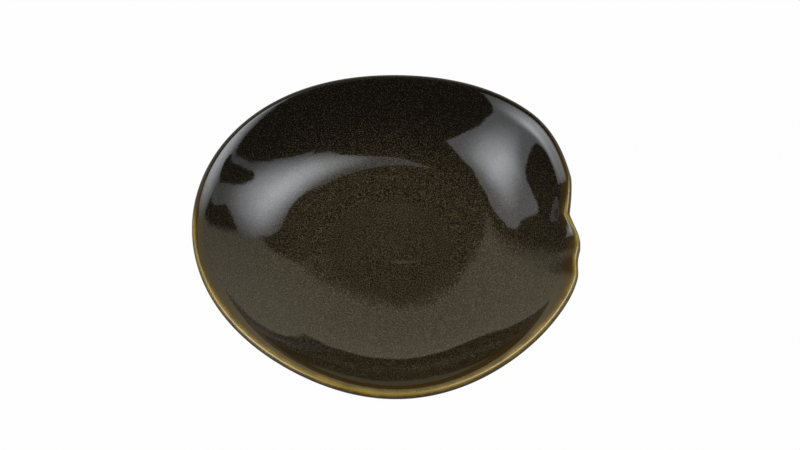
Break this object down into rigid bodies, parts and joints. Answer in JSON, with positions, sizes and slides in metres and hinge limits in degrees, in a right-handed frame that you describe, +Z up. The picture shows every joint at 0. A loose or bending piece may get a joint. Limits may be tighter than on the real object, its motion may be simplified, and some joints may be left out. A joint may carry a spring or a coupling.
{
  "type": "soy sauce dish",
  "caption": "Shallow hand-pressed stoneware sauce dish with a foot ring, a wavy pinched rim and dark brown glaze that thins to amber at the lip.",
  "frame": {"origin": "centre of the dish's outline on the table surface, z = 0 at the foot ring's standing face", "axes": "+Z up; +X to the pressed side with the small ear, the right side in the picture; +Y to the back, away from the picture's camera"},
  "size_m": [0.1, 0.098, 0.0245],
  "materials": {
    "bare_clay": "bare fired stoneware, matte and faintly gritty",
    "fired_slip": "smoothed slip, matte",
    "dark_glaze": "dark olive-brown iron glaze with a fine mottle, very glossy",
    "amber_glaze": "the same glaze where it runs thin over the lip, amber, very glossy"
  },
  "bodies": {
    "root": {"clay_body": "bare_clay", "foot_ring": "bare_clay", "luting_slip": "fired_slip", "inside_glaze": "dark_glaze", "rim_glaze": "amber_glaze", "outside_glaze": "dark_glaze", "foot_well_glaze": "dark_glaze"}
  },
  "joints": []
}
